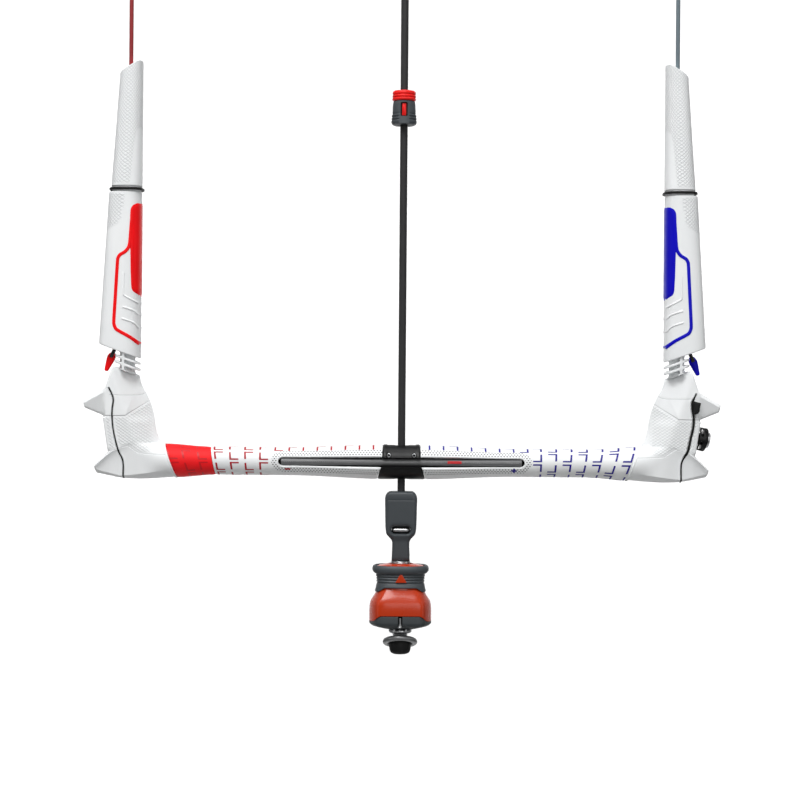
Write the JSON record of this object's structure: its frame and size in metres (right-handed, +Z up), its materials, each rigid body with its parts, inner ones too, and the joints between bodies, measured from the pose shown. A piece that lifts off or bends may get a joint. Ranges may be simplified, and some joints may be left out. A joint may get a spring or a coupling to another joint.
{
  "type": "kitesurf control bar",
  "caption": "Handlebar on a sliding depower line, with sprung floats and leader lines at both ends, a line stopper and a swivelling quick release below.",
  "frame": {"origin": "on the depower line's axis, at the quick release's flat bottom, where the harness loop is fitted", "axes": "+Z up along the depower line, +X along the bar towards its power adjuster, -Y towards the side with the indicator slot"},
  "size_m": [0.507, 0.0368, 0.5645],
  "materials": {
    "white_foam": "matt moulded foam with a fine diamond texture",
    "red_foam": "matt moulded foam",
    "red_print": "satin",
    "blue_print": "satin",
    "red_plastic": "moulded, semi-gloss",
    "grey_plastic": "moulded, matt",
    "black_plastic": "moulded, matt",
    "black_rubber": "matt",
    "steel": "brushed stainless",
    "aluminium": "anodised",
    "black_line": "coated braid",
    "red_line": "braided cord",
    "grey_line": "braided cord"
  },
  "bodies": {
    "quick_release": {"release_base": "grey_plastic", "release_barrel": "aluminium", "latch_tongue": "steel", "loop_stud": "steel", "release_spring": "steel", "safety_line": "red_line", "safety_ball": "black_rubber"},
    "release_handle": {"release_handle": "red_plastic", "handle_grip": "grey_plastic"},
    "leash_ring": {"leash_ring": "steel"},
    "swivel_head": {"head_body": "grey_plastic", "head_cap": "grey_plastic", "head_pin": "steel", "swivel_shaft": "steel", "swivel_washer": "steel", "depower_line": "black_line", "front_line_loop": "black_line"},
    "line_bushing": {"line_bushing": "steel"},
    "bar": {"bar_tube": "aluminium", "centre_core": "black_plastic", "centre_upper_shell": "black_plastic", "centre_lower_shell": "black_plastic", "left_centre_screw": "steel", "right_centre_screw": "steel", "indicator_track": "black_plastic", "left_grip": "white_foam", "left_grip_band": "red_foam", "right_grip": "white_foam", "left_bar_end": "white_foam", "left_elastic": "black_rubber", "left_neck": "white_foam", "right_bar_end": "white_foam", "right_elastic": "black_rubber", "right_neck": "white_foam", "elastic_catch": "black_rubber"},
    "left_float": {"left_float_lower": "white_foam", "left_float_upper": "white_foam", "left_float_band": "black_rubber", "left_float_inlay": "red_print", "left_leader_line": "red_line", "left_leader_loop": "red_line"},
    "right_float": {"right_float_lower": "white_foam", "right_float_upper": "white_foam", "right_float_band": "black_rubber", "right_float_inlay": "blue_print", "right_leader_line": "grey_line", "right_leader_loop": "grey_line"},
    "left_toggle": {"left_toggle": "red_print", "left_toggle_cord": "black_line"},
    "right_toggle": {"right_toggle": "blue_print", "right_toggle_cord": "black_line"},
    "adjuster_wheel": {"adjuster_wheel": "black_plastic", "adjuster_spool": "black_plastic"},
    "power_button": {"power_button": "steel"},
    "depower_indicator": {"depower_indicator": "red_print"},
    "stopper": {"stopper_body": "grey_plastic"},
    "stopper_collar": {"stopper_collar": "red_plastic"}
  },
  "joints": [
    {"name": "handle_slide", "type": "slide", "parent": "quick_release", "child": "release_handle", "axis": [0, 0, 1], "range_m": [0, 0.014], "stiffness_N_per_m": 600, "springref_m": -0.01, "deforming": ["release_spring"]},
    {"name": "leash_ring_turn", "type": "hinge", "parent": "quick_release", "child": "leash_ring", "pos_m": [0, 0, -0.011], "axis": [0, 0, 1], "continuous": true},
    {"name": "swivel", "type": "hinge", "parent": "quick_release", "child": "swivel_head", "pos_m": [0, 0, 0.0523], "axis": [0, 0, 1], "continuous": true},
    {"name": "bar_sheet", "type": "slide", "parent": "swivel_head", "child": "line_bushing", "axis": [0, 0, 1], "range_m": [-0.005, 0.19]},
    {"name": "bar_steer", "type": "hinge", "parent": "line_bushing", "child": "bar", "pos_m": [0, 0, 0.1326], "axis": [0, 1, 0], "range_deg": [-11, 11], "stiffness_Nm_per_rad": 6},
    {"name": "adjuster_turn", "type": "hinge", "parent": "bar", "child": "adjuster_wheel", "pos_m": [0.2366, 0, 0.1533], "axis": [0.9823, 0, -0.1874], "range_deg": [-3110, 1080]},
    {"name": "indicator_travel", "type": "slide", "parent": "bar", "child": "depower_indicator", "axis": [1, 0, 0], "range_m": [-0.1298, 0.0455]},
    {"name": "button_push", "type": "slide", "parent": "adjuster_wheel", "child": "power_button", "axis": [-0.9823, 0, 0.1874], "range_m": [0, 0.0018], "stiffness_N_per_m": 800, "springref_m": -0.0015},
    {"name": "stopper_slide", "type": "slide", "parent": "swivel_head", "child": "stopper", "axis": [0, 0, 1], "range_m": [-0.06, 0.08]},
    {"name": "collar_pull", "type": "slide", "parent": "stopper", "child": "stopper_collar", "axis": [0, 0, 1], "range_m": [0, 0.004], "stiffness_N_per_m": 500, "springref_m": -0.004},
    {"name": "left_float_flex", "type": "hinge", "parent": "bar", "child": "left_float", "pos_m": [-0.2195, 0, 0.2106], "axis": [0, -1, 0], "range_deg": [-20, 12], "stiffness_Nm_per_rad": 1.5, "deforming": ["left_neck"]},
    {"name": "left_toggle_swing", "type": "hinge", "parent": "left_float", "child": "left_toggle", "pos_m": [-0.2304, 0, 0.2198], "axis": [0, 1, 0], "range_deg": [0, 50]},
    {"name": "right_float_flex", "type": "hinge", "parent": "bar", "child": "right_float", "pos_m": [0.2195, 0, 0.2106], "axis": [0, 1, 0], "range_deg": [-20, 12], "stiffness_Nm_per_rad": 1.5, "deforming": ["right_neck"]},
    {"name": "right_toggle_swing", "type": "hinge", "parent": "right_float", "child": "right_toggle", "pos_m": [0.2304, 0, 0.2198], "axis": [0, -1, 0], "range_deg": [0, 50]}
  ],
  "couplings": [
    {"joint": "indicator_travel", "follows": "adjuster_turn", "m_per_rad": 0.0023873}
  ]
}
